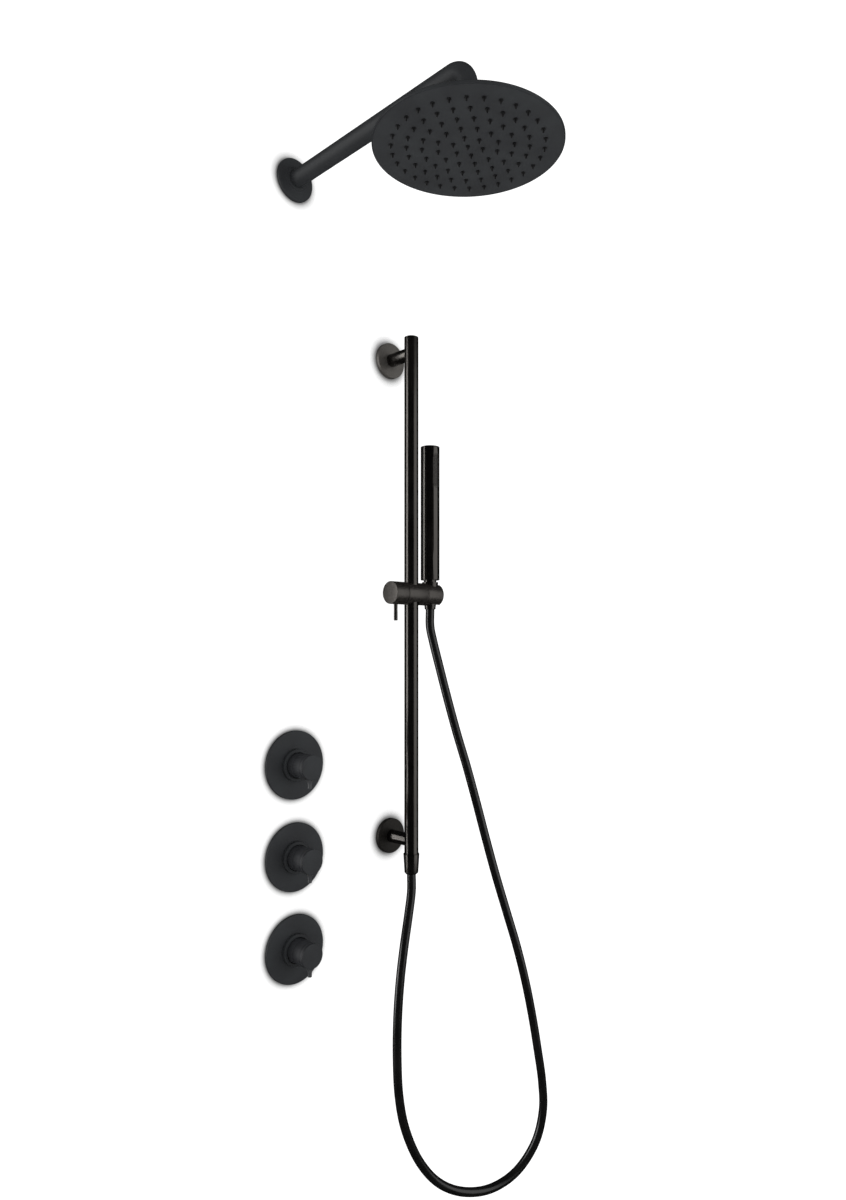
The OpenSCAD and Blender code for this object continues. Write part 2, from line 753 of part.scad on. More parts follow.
module manifold() {
    color(brass) difference() {
        union() {
            bar_z(arm_x, wall_depth, column_low, column_top, column_r);
            for (z = valve_z) bar_y(arm_x, z, socket_front, wall_depth, 21);
            bar_x(wall_depth, 0, arm_x, arm_x + branch_arm, 11);
            bar_x(wall_depth, valve_z[2], arm_x - inlet_arm, arm_x + inlet_arm, 14);
        }
        for (z = valve_z) bar_y(arm_x, z, socket_front - over, 44 + fit, cartridge_r);
        // Mixed water: up the column, and to the side for the hand shower
        bar_z(arm_x, wall_depth, valve_z[2] + 8, column_top + over, water_r + 1);
        bar_z(arm_x, wall_depth, column_top - cup_depth, column_top + over, pipe_r + fit);
        for (z = [valve_z[0], valve_z[1], valve_z[2] + 10])
            bar_y(arm_x, z, 43, wall_depth - 1, port_r);
        bar_x(wall_depth, 0, arm_x + 1, arm_x + branch_arm, water_r);
        bar_x(wall_depth, 0, arm_x + branch_arm - cup_depth, arm_x + branch_arm + over,
            pipe_r + fit);
        // Hot and cold water: a threaded inlet and a port on each side
        for (side = [-1, 1]) translate([arm_x, wall_depth, valve_z[2]])
            rotate([0, 90 * side, 0]) {
                translate([0, 0, 5]) cylinder(h = inlet_arm, r = port_r);
                translate([0, 0, inlet_arm - 14]) cylinder(h = 14 + over, r = inlet_r);
                translate([0, 0, 9]) rotate([90, 0, 0])
                    cylinder(h = wall_depth - 43, r = port_r - 1);
            }
    }
}

// Bars that fix the manifold to the wall's frame
module fixing_bars() {
    back = wall_depth + column_r + bar_thk;
    color(steel) for (up = [-1, 1]) difference() {
        translate([arm_x - bar_off - 9, back - bar_thk, -valve_drop + up * valve_pitch / 2 - 9])
            cube([2 * bar_off + 18, bar_thk, 18]);
        for (side = [-1, 1])
            bar_y(arm_x + side * bar_off, -valve_drop + up * valve_pitch / 2,
                back - bar_thk - over, back + over, 3);
    }
}

module riser_pipe() {
    low = column_top - cup_depth;
    high = arm_height - elbow_arm + cup_depth;
    color(copper) difference() {
        bar_z(arm_x, wall_depth, low, high, pipe_r);
        bar_z(arm_x, wall_depth, low - over, high + over, pipe_bore_r);
    }
}

module branch_pipe() {
    low = arm_x + branch_arm - cup_depth;
    high = -elbow_arm + cup_depth;
    color(copper) difference() {
        bar_x(wall_depth, 0, low, high, pipe_r);
        bar_x(wall_depth, 0, low - over, high + over, pipe_bore_r);
    }
}

// ---------- Nodes ----------

head_shell();
spray_plate();
spray_nozzles();
swivel_nut();
swivel_liner();
swivel_ball();
arm_end();
shower_arm();
arm_nipple();
arm_flange();
arm_elbow();
rail_tube();
rail_cap();
upper_post();
upper_flange();
wall_boss();
wall_screws();
post_grub_screw();
lower_post();
lower_flange();
rail_outlet();
outlet_elbow();
rail_bush();
slider_body();
brake_pad();
clamp_knob();
clamp_lever();
clamp_screw();
cradle();
pivot_stud();
hose_cone();
cone_washer();
hose();
lower_nut();
lower_washer();
hand_body();
hand_cap();
hand_inlet();
spray_strip();
head_plate();
hand_plate();
mixer_plate();
valve_collars();
head_handle();
hand_handle();
mixer_handle();
head_lever();
hand_lever();
mixer_lever();
head_spindle();
hand_spindle();
mixer_spindle();
head_cartridge();
hand_cartridge();
mixer_cartridge();
bonnet_nuts();
manifold();
fixing_bars();
riser_pipe();
branch_pipe();
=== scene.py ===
"""Concealed rain shower set in matt and satin black, seen from below and to the left.

The wall's finished face is the plane y = 0, the room is on the -Y side and +Z is up.
Everything is in metres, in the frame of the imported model.
"""

from __future__ import annotations

import logging
import math
from dataclasses import dataclass, field
from enum import Enum

import bmesh
import bpy
from mathutils import Matrix, Vector

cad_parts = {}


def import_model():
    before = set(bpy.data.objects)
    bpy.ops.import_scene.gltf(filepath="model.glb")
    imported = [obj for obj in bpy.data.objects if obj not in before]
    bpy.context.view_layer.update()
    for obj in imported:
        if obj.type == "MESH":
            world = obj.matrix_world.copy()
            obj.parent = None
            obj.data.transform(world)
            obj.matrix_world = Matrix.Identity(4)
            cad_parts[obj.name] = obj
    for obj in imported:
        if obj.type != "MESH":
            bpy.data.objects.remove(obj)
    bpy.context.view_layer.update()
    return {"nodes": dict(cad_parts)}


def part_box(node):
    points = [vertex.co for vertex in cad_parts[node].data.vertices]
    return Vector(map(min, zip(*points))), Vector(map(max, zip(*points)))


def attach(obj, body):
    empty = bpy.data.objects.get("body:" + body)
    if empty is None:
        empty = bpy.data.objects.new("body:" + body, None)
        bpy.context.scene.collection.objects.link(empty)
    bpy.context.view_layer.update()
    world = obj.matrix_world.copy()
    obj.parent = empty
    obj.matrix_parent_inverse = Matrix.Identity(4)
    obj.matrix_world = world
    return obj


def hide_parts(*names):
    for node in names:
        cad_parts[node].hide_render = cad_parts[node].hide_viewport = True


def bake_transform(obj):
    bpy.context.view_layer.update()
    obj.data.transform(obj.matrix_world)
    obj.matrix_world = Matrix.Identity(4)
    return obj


LOG = logging.getLogger("shower")
Point = tuple[float, float, float]
MM = 0.001
FINE_EDGE = 0.35
SLIDER_EDGE = 0.75
TURN = 2 * math.pi


# ---------------------------------------------------------------- colour and nodes


def linear(code: str, alpha: float = 1.0) -> tuple[float, float, float, float]:
    """Turns an sRGB hex code into linear colour.

    Args:
        code: The colour, such as "#2b2c2e".
        alpha: The fourth value.

    Returns:
        Red, green, blue and alpha.
    """
    parts = [int(code[i : i + 2], 16) / 255 for i in (1, 3, 5)]
    red, green, blue = (
        c / 12.92 if c <= 0.04045 else ((c + 0.055) / 1.055) ** 2.4 for c in parts
    )
    return (red, green, blue, alpha)


def add_node(
    tree: bpy.types.NodeTree,
    kind: str,
    settings: dict | None = None,
    values: dict | None = None,
    links: dict | None = None,
) -> bpy.types.Node:
    """Adds one shader node.

    Args:
        tree: The material's node tree.
        kind: The node's type, without "ShaderNode".
        settings: Properties of the node.
        values: Constants for its input sockets, by name or number.
        links: Output sockets that feed its inputs, by input name or number.

    Returns:
        The new node.
    """
    node = tree.nodes.new("ShaderNode" + kind)
    for name, value in (settings or {}).items():
        setattr(node, name, value)
    for socket, value in (values or {}).items():
        node.inputs[socket].default_value = value
    for socket, source in (links or {}).items():
        tree.links.new(source, node.inputs[socket])
    return node


def per_metre(millimetres: float) -> float:
    """Gives a pattern's scale for Object coordinates from its real size."""
    return 1.0 / (millimetres * MM)


# ---------------------------------------------------------------- finishes


@dataclass(frozen=True)
class Finish:
    """A surface: what the real one is made of, and what its making leaves on it.

    The colour varies slowly between two shades, a fine grain stands up from the
    surface, and the gloss varies with both. A grain stretched along an axis gives the
    lines that turning, drawing or brushing leaves.
    """

    name: str
    dark: str
    light: str
    roughness: float
    roughness_spread: float
    grain_mm: float
    grain_height_mm: float
    metallic: float = 0.0
    ior: float = 1.5
    specular: float = 0.5
    patch_mm: float = 40.0
    sheen: float = 0.0
    grain_shade: float = 0.25
    stretch: Point = (1.0, 1.0, 1.0)
    tint: str = "#ffffff"

    def build(self) -> bpy.types.Material:
        """Makes the material.

        Returns:
            The material with its node tree.
        """
        material = bpy.data.materials.new(self.name)
        material.use_nodes = True
        tree = material.node_tree
        shader = tree.nodes["Principled BSDF"]
        shader.inputs["Metallic"].default_value = self.metallic
        shader.inputs["IOR"].default_value = self.ior
        shader.inputs["Specular IOR Level"].default_value = self.specular
        shader.inputs["Specular Tint"].default_value = linear(self.tint)
        shader.inputs["Sheen Weight"].default_value = self.sheen
        place = add_node(tree, "TexCoord")
        run = add_node(
            tree,
            "Mapping",
            values={"Scale": self.stretch},
            links={"Vector": place.outputs["Object"]},
        )
        patch = add_node(
            tree,
            "TexNoise",
            values={"Scale": per_metre(self.patch_mm), "Detail": 3.0, "Roughness": 0.55},
            links={"Vector": place.outputs["Object"]},
        )
        grain = add_node(
            tree,
            "TexNoise",
            values={"Scale": per_metre(self.grain_mm), "Detail": 2.0, "Roughness": 0.5},
            links={"Vector": run.outputs["Vector"]},
        )
        shade = add_node(
            tree,
            "Mix",
            settings={"data_type": "FLOAT"},
            values={0: self.grain_shade},
            links={2: patch.outputs["Fac"], 3: grain.outputs["Fac"]},
        )
        colour = add_node(tree, "ValToRGB", links={"Fac": shade.outputs[0]})
        colour.color_ramp.elements[0].position = 0.35
        colour.color_ramp.elements[0].color = linear(self.dark)
        colour.color_ramp.elements[1].position = 0.65
        colour.color_ramp.elements[1].color = linear(self.light)
        tree.links.new(colour.outputs["Color"], shader.inputs["Base Color"])
        gloss = add_node(
            tree,
            "MapRange",
            values={
                "From Min": 0.3,
                "From Max": 0.7,
                "To Min": self.roughness - self.roughness_spread,
                "To Max": self.roughness + self.roughness_spread,
            },
            links={"Value": shade.outputs[0]},
        )
        tree.links.new(gloss.outputs["Result"], shader.inputs["Roughness"])
        bump = add_node(
            tree,
            "Bump",
            values={"Strength": 0.6, "Distance": self.grain_height_mm * MM},
            links={"Height": grain.outputs["Fac"]},
        )
        tree.links.new(bump.outputs["Normal"], shader.inputs["Normal"])
        return material


# An electrocoat's clear top layer is faintly amber, which warms what it mirrors.
WARM = "#fbf4ec"

# Polyester powder coat on brass, sprayed and baked: matt, with a faint orange peel.
MATT_COAT = Finish(
    "matt_black_coat", "#292a2c", "#2f3133", 0.5, 0.05, 1.2, 0.03, specular=0.13
)
# The same coat on a rolled sheet, which is flatter and a little lighter.
PLATE_COAT = Finish(
    "plate_black_coat", "#2f3032", "#343638", 0.52, 0.04, 1.0, 0.02, specular=0.22
)
# The same coat over turned brass, whose fine rings still show. They are drawn about
# twice as coarse as they are, so that they show at all.
TURNED_COAT = Finish(
    "turned_black_coat", "#1f2022", "#353639", 0.46, 0.06, 3.0, 0.2, specular=0.12,
    grain_shade=0.8, stretch=(0.0, 1.0, 0.0),
)
# The same coat on the thin lever, a little smoother, and painted paler: painted light.
LEVER_PAINTED_LIGHT_COAT = Finish(
    "lever_coat_painted_light", "#353638", "#3e3f41", 0.38, 0.05, 1.0, 0.02, specular=0.4
)
# Satin electrocoat on drawn brass tube: smoother, with long soft highlights.
SATIN_COAT = Finish(
    "satin_black_coat", "#030303", "#090808", 0.22, 0.05, 0.9, 0.012, ior=1.7,
    stretch=(1.0, 1.0, 0.06), tint=WARM,
)
# The satin coat made paler and warmer for the upper flange's face: painted light.
UPPER_FLANGE_PAINTED_LIGHT_COAT = Finish(
    "upper_flange_coat_painted_light", "#32302e", "#52504d", 0.4, 0.08, 1.8, 0.05, ior=1.6,
    grain_shade=0.6, tint=WARM,
)
# A darker, duller copy of the flange coat for the lower flange: painted shade.
LOWER_FLANGE_PAINTED_SHADE_COAT = Finish(
    "lower_flange_coat_painted_shade", "#0d0c0b", "#1f1e1c", 0.5, 0.06, 1.6, 0.05, specular=0.3,
    grain_shade=0.6, tint=WARM,
)
# Textured powder coat on die-cast zinc: the grain shows at arm's length.
GRAIN_COAT = Finish(
    "grained_black_coat", "#080707", "#2b2826", 0.34, 0.1, 1.6, 0.4, ior=1.65,
    grain_shade=0.85, tint=WARM,
)
# Liquid silicone rubber, moulded: soft and dull, with a little dust bloom.
SILICONE = Finish(
    "black_silicone", "#08080a", "#0e0e10", 0.6, 0.06, 0.6, 0.02, specular=0.3, sheen=0.05
)
# The same rubber cast against a polished tool, for the hand shower's strip.
STRIP_SILICONE = Finish(
    "strip_silicone", "#0a0909", "#131211", 0.28, 0.04, 0.6, 0.01, ior=1.6, tint=WARM
)
# Nitrile sealing rubber, cut from sheet.
RUBBER = Finish("black_rubber", "#0d0d0d", "#171717", 0.7, 0.05, 0.4, 0.03)
# Smooth PVC over a reinforced core, extruded: an even satin with a faint waviness.
PVC = Finish("black_pvc", "#090909", "#100f0f", 0.27, 0.04, 9.0, 0.06, ior=1.53)
# Half-hard copper tube, drawn: warm, with fine draw lines along it.
COPPER = Finish("drawn_copper", "#a5593a", "#c9805c", 0.33, 0.07, 0.5, 0.02, metallic=1.0)
# Hot-pressed and turned brass: yellow, a little dull.
BRASS = Finish("turned_brass", "#9c7c3e", "#c2a05c", 0.36, 0.08, 0.6, 0.02, metallic=1.0)
# Stainless steel, turned.
STEEL = Finish("turned_steel", "#8b8c8e", "#b2b3b5", 0.3, 0.07, 0.5, 0.01, metallic=1.0)
# Unfilled nylon, injection moulded.
NYLON = Finish("natural_nylon", "#cbc6b8", "#e0dccf", 0.45, 0.05, 1.2, 0.02)


@dataclass
class Finishes:
    """All the finishes, each built once."""

    matt: bpy.types.Material = field(default_factory=MATT_COAT.build)
    plate: bpy.types.Material = field(default_factory=PLATE_COAT.build)
    turned: bpy.types.Material = field(default_factory=TURNED_COAT.build)
    satin: bpy.types.Material = field(default_factory=SATIN_COAT.build)
    # The lever's paler coat, painted light.
    pin: bpy.types.Material = field(default_factory=LEVER_PAINTED_LIGHT_COAT.build)
    # The upper flange's paler coat, painted light.
    faces: bpy.types.Material = field(default_factory=UPPER_FLANGE_PAINTED_LIGHT_COAT.build)
    # The lower flange's darker coat, painted shade.
    rose: bpy.types.Material = field(default_factory=LOWER_FLANGE_PAINTED_SHADE_COAT.build)
    grained: bpy.types.Material = field(default_factory=GRAIN_COAT.build)
    silicone: bpy.types.Material = field(default_factory=SILICONE.build)
    strip: bpy.types.Material = field(default_factory=STRIP_SILICONE.build)
    rubber: bpy.types.Material = field(default_factory=RUBBER.build)
    pvc: bpy.types.Material = field(default_factory=PVC.build)
    copper: bpy.types.Material = field(default_factory=COPPER.build)
    brass: bpy.types.Material = field(default_factory=BRASS.build)
    steel: bpy.types.Material = field(default_factory=STEEL.build)
    nylon: bpy.types.Material = field(default_factory=NYLON.build)

    def by_node(self) -> dict[str, bpy.types.Material]:
        """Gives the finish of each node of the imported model.

        Returns:
            The material of each node, by the node's name.
        """
        table = {
            self.matt: "head_shell swivel_nut swivel_ball arm_end shower_arm arm_flange "
            "head_plate hand_plate mixer_plate valve_collars head_handle hand_handle "
            "mixer_handle head_lever hand_lever mixer_lever",
            self.plate: "spray_plate",
            self.satin: "rail_tube rail_cap upper_post upper_flange lower_post lower_flange "
            "rail_outlet clamp_lever hose_cone lower_nut hand_body hand_cap hand_inlet",
            self.grained: "slider_body clamp_knob cradle",
            self.silicone: "spray_nozzles spray_strip",
            self.rubber: "cone_washer lower_washer",
            self.pvc: "hose",
            self.copper: "riser_pipe branch_pipe",
            self.brass: "manifold arm_elbow outlet_elbow arm_nipple bonnet_nuts "
            "head_spindle hand_spindle mixer_spindle",
            self.steel: "wall_boss wall_screws post_grub_screw clamp_screw pivot_stud "
            "fixing_bars",
            self.nylon: "swivel_liner rail_bush brake_pad head_cartridge hand_cartridge "
            "mixer_cartridge",
        }
        return {node: finish for finish, nodes in table.items() for node in nodes.split()}


# ---------------------------------------------------------------- mesh helpers


def new_piece(mesh: bmesh.types.BMesh, name: str, finish: bpy.types.Material) -> bpy.types.Object:
    """Turns a bmesh into a finished object at the origin.

    Args:
        mesh: The geometry, in the row frame. It is freed.
        name: The object's name.
        finish: The material for all its faces.

    Returns:
        The new object.
    """
    data = bpy.data.meshes.new(name)
    mesh.to_mesh(data)
    mesh.free()
    data.materials.append(finish)
    piece = bpy.data.objects.new(name, data)
    bpy.context.scene.collection.objects.link(piece)
    return piece


def shade_by_angle(piece: bpy.types.Object, degrees: float = 35.0) -> None:
    """Shades smooth, apart from edges sharper than the angle.

    Args:
        piece: The object.
        degrees: The largest angle that is shaded smooth.
    """
    data = piece.data
    data.polygons.foreach_set("use_smooth", [True] * len(data.polygons))
    data.set_sharp_from_angle(angle=math.radians(degrees))


def frame_at(origin: Point, axis: Point, start: Point = (0.0, 0.0, 0.0)) -> Matrix:
    """Builds a frame whose Z runs along an axis.

    Args:
        origin: The frame's place.
        axis: The direction of its Z.
        start: The direction of its X, or zeros for any.

    Returns:
        The matrix from the local frame to the row frame.
    """
    z = Vector(axis).normalized()
    hint = Vector(start)
    if hint.length < 0.5:
        hint = Vector((0, 0, 1)) if abs(z.z) < 0.9 else Vector((1, 0, 0))
    x = (hint - hint.dot(z) * z).normalized()
    y = z.cross(x)
    return Matrix.Translation(origin) @ Matrix((x, y, z)).transposed().to_4x4()


def turned(
    profile: list[tuple[float, float]], place: Matrix, steps: int = 96, closed: bool = True
) -> bmesh.types.BMesh:
    """Spins a profile about a frame's Z axis.

    Args:
        profile: Radius and height pairs in metres, in order along the outline.
        place: The frame.
        steps: The number of segments round.
        closed: True if the last point joins the first.

    Returns:
        A closed mesh with its normals outward.
    """
    mesh = bmesh.new()
    points = [mesh.verts.new((radius, 0.0, height)) for radius, height in profile]
    edges = [mesh.edges.new((a, b)) for a, b in zip(points, points[1:])]
    if closed:
        edges.append(mesh.edges.new((points[-1], points[0])))
    bmesh.ops.spin(
        mesh,
        geom=points + edges,
        cent=(0, 0, 0),
        axis=(0, 0, 1),
        angle=TURN,
        steps=steps,
        use_merge=True,
    )
    bmesh.ops.remove_doubles(mesh, verts=mesh.verts, dist=1e-6)
    bmesh.ops.recalc_face_normals(mesh, faces=mesh.faces)
    bmesh.ops.transform(mesh, matrix=place, verts=mesh.verts)
    return mesh


def rounded(
    profile: list[tuple[float, float]], radius: float, corners: dict[int, float] | None = None,
    segments: int = 4,
) -> list[tuple[float, float]]:
    """Rounds the corners of a closed outline that don't lie on the axis.

    Args:
        profile: The outline's points.
        radius: The usual rounding, in metres.
        corners: Other roundings for single points, by number. 0 keeps a corner sharp.
        segments: The number of pieces in each rounding.

    Returns:
        The new outline.
    """
    out: list[tuple[float, float]] = []
    count = len(profile)
    for i, here in enumerate(profile):
        r = (corners or {}).get(i, radius)
        p = Vector(here)
        before, after = Vector(profile[i - 1]), Vector(profile[(i + 1) % count])
        a, b = before - p, after - p
        if r <= 0 or p.x < 1e-6 or a.length < 1e-7 or b.length < 1e-7:
            out.append((p.x, p.y))
            continue
        angle = a.angle(b)
        if angle > math.radians(175):
            out.append((p.x, p.y))
            continue
        cut = min(r / math.tan(angle / 2), 0.45 * a.length, 0.45 * b.length)
        first, last = p + a.normalized() * cut, p + b.normalized() * cut
        for k in range(segments + 1):
            t = k / segments
            q = (1 - t) ** 2 * first + 2 * t * (1 - t) * p + t * t * last
            out.append((q.x, q.y))
    return out


class Along(Enum):
    """The direction of a turned piece's axis."""

    OUT = (0.0, -1.0, 0.0)
    UP = (0.0, 0.0, 1.0)
    DOWN = (0.0, 0.0, -1.0)
    ACROSS = (1.0, 0.0, 0.0)


class Slot(Enum):
    """Material slot names that turned pieces carry; nothing reads them."""

    MATT = "matt_black_coat"
    SATIN = "satin_black_coat"
    HOSE = "black_hose"
    SILICONE = "silicone"


def middle(node: str) -> Vector:
    """Gives the middle of a node's box."""
    low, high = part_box(node)
    return (Vector(low) + Vector(high)) / 2


def settle(
    piece: bpy.types.Object, body: str, nodes: tuple[str, ...]
) -> bpy.types.Object:
    """Gives a new piece to its body and lets it stand for its nodes.

    Args:
        piece: The new piece.
        body: The body that it moves with.
        nodes: The nodes that it stands for.

    Returns:
        The same piece.
    """
    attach(piece, body)
    if nodes:
        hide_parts(*nodes)
    LOG.info("%s on %s", piece.name, body)
    return piece


@dataclass
class Turning:
    """A turned piece: an outline in millimetres, spun about an axis."""

    name: str
    body: str
    nodes: tuple[str, ...]
    slot: Slot
    finish: bpy.types.Material
    origin: Vector
    along: Along
    outline: list[tuple[float, float]]
    edge: float = 0.5
    corners: dict[int, float] | None = None
    steps: int = 96

    def build(self) -> bpy.types.Object:
        """Makes the piece and settles it.

        Returns:
            The finished piece.
        """
        profile = [(radius * MM, height * MM) for radius, height in self.outline]
        corners = {i: r * MM for i, r in (self.corners or {}).items()}
        mesh = turned(
            rounded(profile, self.edge * MM, corners),
            frame_at(tuple(self.origin), self.along.value),
            self.steps,
        )
        piece = new_piece(mesh, self.name, self.finish)
        shade_by_angle(piece)
        return settle(piece, self.body, self.nodes)


def swept(points: list[Vector], side: Vector, radius: float, sides: int) -> bmesh.types.BMesh:
    """Sweeps a round section along a line.

    Args:
        points: The line.
        side: A direction that the line never follows.
        radius: The section's radius.
        sides: The number of points round.

    Returns:
        The closed tube.
    """
    mesh = bmesh.new()
    last = len(points) - 1
    rings = []
    for i, here in enumerate(points):
        t = (points[min(i + 1, last)] - points[max(i - 1, 0)]).normalized()
        u = t.cross(side).normalized()
        v = u.cross(t)
        ring = [
            mesh.verts.new(here + radius * (math.cos(a) * u + math.sin(a) * v))
            for a in (TURN * s / sides for s in range(sides))
        ]
        loop = [mesh.edges.new((a, b)) for a, b in zip(ring, ring[1:] + ring[:1])]
        if rings:
            bmesh.ops.bridge_loops(mesh, edges=rings[-1] + loop)
        rings.append(loop)
    bmesh.ops.holes_fill(mesh, edges=rings[0] + rings[-1], sides=0)
    bmesh.ops.recalc_face_normals(mesh, faces=mesh.faces)
    return mesh


def add_part(mesh: bmesh.types.BMesh, part: bmesh.types.BMesh) -> None:
    """Adds a finished shape to a mesh and frees it.

    Args:
        mesh: The mesh that takes the shape.
        part: The shape.
    """
    data = bpy.data.meshes.new("part")
    part.to_mesh(data)
    part.free()
    mesh.from_mesh(data)
    bpy.data.meshes.remove(data)


def soften(node: bpy.types.Object, width: float, degrees: float = 40.0) -> None:
    """Rounds a carried-over node's sharp edges with modifiers.

    Args:
        node: The node's object.
        width: The rounding, in millimetres.
        degrees: The smallest angle that is rounded.
    """
    weld = node.modifiers.new("weld", "WELD")
    weld.merge_threshold = 0.002 * MM
    bevel = node.modifiers.new("edges", "BEVEL")
    bevel.width = width * MM
    bevel.segments = 3
    bevel.limit_method = "ANGLE"
    bevel.angle_limit = math.radians(degrees)
    bevel.harden_normals = False


# ---------------------------------------------------------------- scene set-up


@dataclass(frozen=True)
class Camera:
    """The camera, level and turned towards the wall."""

    place: Point = (-0.9203, -1.0312, 0.2971)
    forward: Point = (0.695, 0.719, 0.0)
    lens: float = 25.8
    rise: float = 0.0417

    def build(self) -> None:
        """Makes the camera and gives it to the scene."""
        data = bpy.data.cameras.new("camera")
        data.lens = self.lens
        data.sensor_width = 36.0
        data.shift_y = self.rise
        data.clip_start = 0.05
        camera = bpy.data.objects.new("camera", data)
        bpy.context.scene.collection.objects.link(camera)
        camera.location = self.place
        camera.rotation_euler = Vector(self.forward).to_track_quat("-Z", "Y").to_euler()
        bpy.context.scene.camera = camera


class Gives(Enum):
    """What a softbox adds: shading, glints in glossy surfaces, or both."""

    ALL = (True, True)
    GLINTS = (False, True)
    SHADING = (True, False)


@dataclass(frozen=True)
class Lamp:
    """One rectangular softbox that points at a target."""

    name: str
    place: Point
    target: Point
    width: float
    height: float
    power: float
    gives: Gives = Gives.ALL

    def build(self) -> None:
        """Makes the light."""
        data = bpy.data.lights.new(self.name, "AREA")
        data.shape = "RECTANGLE"
        data.size = self.width
        data.size_y = self.height
        data.energy = self.power
        lamp = bpy.data.objects.new(self.name, data)
        bpy.context.scene.collection.objects.link(lamp)
        lamp.location = self.place
        towards = Vector(self.target) - Vector(self.place)
        lamp.rotation_euler = towards.to_track_quat("-Z", "Y").to_euler()
        lamp.visible_camera = False
        lamp.visible_diffuse, lamp.visible_glossy = self.gives.value


@dataclass
class Studio:
    """White wall, pale floor and soft light."""

    floor_z: float = -1.6
    wall_low: Point = (-4.0, 0.0, -1.6)
    wall_high: Point = (4.0, 0.0, 3.0)
    lamps: tuple[Lamp, ...] = (
        Lamp("right_box", (1.0, -2.0, 0.4), (0.0, -0.1, 0.4), 2.2, 2.6, 22.0),
        Lamp("left_box", (-1.75, 0.95, 0.4), (0.0, -0.1, 0.4), 0.8, 2.6, 34.0, Gives.GLINTS),
        Lamp(
            "left_fill", (-1.5, -1.3, 0.4), (-0.1, -0.1, 0.2), 1.4, 1.4, 4.0, Gives.SHADING
        ),
    )
    wall_glow: float = 0.95
    contact: float = 0.033
    contact_depth: float = 6.5

    def wall_finish(self) -> bpy.types.Material:
        """Makes the wall's white paint, which shows from the room only.

        Its own glow keeps it white. The glow falls off where a piece stands close, so
        that only a soft shadow is left round each plate and flange.

        Returns:
            The material.
        """
        material = bpy.data.materials.new("white_wall")
        material.use_nodes = True
        tree = material.node_tree
        shader = tree.nodes["Principled BSDF"]
        shader.inputs["Base Color"].default_value = linear("#8a8a8a")
        shader.inputs["Roughness"].default_value = 0.9
        shader.inputs["Specular IOR Level"].default_value = 0.0
        shader.inputs["Emission Color"].default_value = linear("#ffffff")
        near = add_node(tree, "AmbientOcclusion", values={"Distance": self.contact})
        fall = add_node(
            tree,
            "Math",
            settings={"operation": "POWER"},
            values={1: self.contact_depth},
            links={0: near.outputs["AO"]},
        )
        glow = add_node(
            tree,
            "Math",
            settings={"operation": "MULTIPLY"},
            values={1: self.wall_glow},
            links={0: fall.outputs[0]},
        )
        tree.links.new(glow.outputs[0], shader.inputs["Emission Strength"])
        clear = add_node(tree, "BsdfTransparent")
        side = add_node(tree, "NewGeometry")
        mix = add_node(
            tree,
            "MixShader",
            links={0: side.outputs["Backfacing"], 1: shader.outputs[0], 2: clear.outputs[0]},
        )
        tree.links.new(mix.outputs[0], tree.nodes["Material Output"].inputs["Surface"])
        return material

    def floor_finish(self) -> bpy.types.Material:
        """Makes the floor's pale paint.

        Returns:
            The material.
        """
        material = bpy.data.materials.new("pale_floor")
        material.use_nodes = True
        shader = material.node_tree.nodes["Principled BSDF"]
        shader.inputs["Base Color"].default_value = linear("#f0f0ef")
        shader.inputs["Roughness"].default_value = 0.8
        return material

    def sky(self) -> bpy.types.World:
        """Makes a white surround that glossy surfaces see as a dark room.

        Returns:
            The world.
        """
        world = bpy.data.worlds.new("world")
        world.use_nodes = True
        tree = world.node_tree
        bright = tree.nodes["Background"]
        bright.inputs["Color"].default_value = linear("#ffffff")
        bright.inputs["Strength"].default_value = 0.8
        dark = add_node(tree, "Background", values={"Strength": 0.02})
        ray = add_node(tree, "LightPath")
        mix = add_node(
            tree,
            "MixShader",
            links={0: ray.outputs["Is Glossy Ray"], 1: bright.outputs[0], 2: dark.outputs[0]},
        )
        tree.links.new(mix.outputs[0], tree.nodes["World Output"].inputs["Surface"])
        return world

    def build(self) -> None:
        """Makes the wall, the floor, the lights and the surround."""
        mesh = bmesh.new()
        (x0, y, z0), (x1, _, z1) = self.wall_low, self.wall_high
        corners = [mesh.verts.new(p) for p in ((x0, y, z0), (x1, y, z0), (x1, y, z1), (x0, y, z1))]
        mesh.faces.new(corners)
        wall = new_piece(mesh, "wall", self.wall_finish())
        mesh = bmesh.new()
        bmesh.ops.create_grid(mesh, x_segments=1, y_segments=1, size=4.0)
        bmesh.ops.translate(mesh, vec=(0, 0, self.floor_z), verts=mesh.verts)
        floor = new_piece(mesh, "floor", self.floor_finish())
        for backdrop in (wall, floor):
            backdrop.visible_glossy = False
        # The left softbox stands behind the wall, whose shadow would put it out
        wall.visible_shadow = False
        for lamp in self.lamps:
            lamp.build()
        bpy.context.scene.world = self.sky()
        bpy.context.scene.view_settings.view_transform = "Standard"


# ---------------------------------------------------------------- the hose


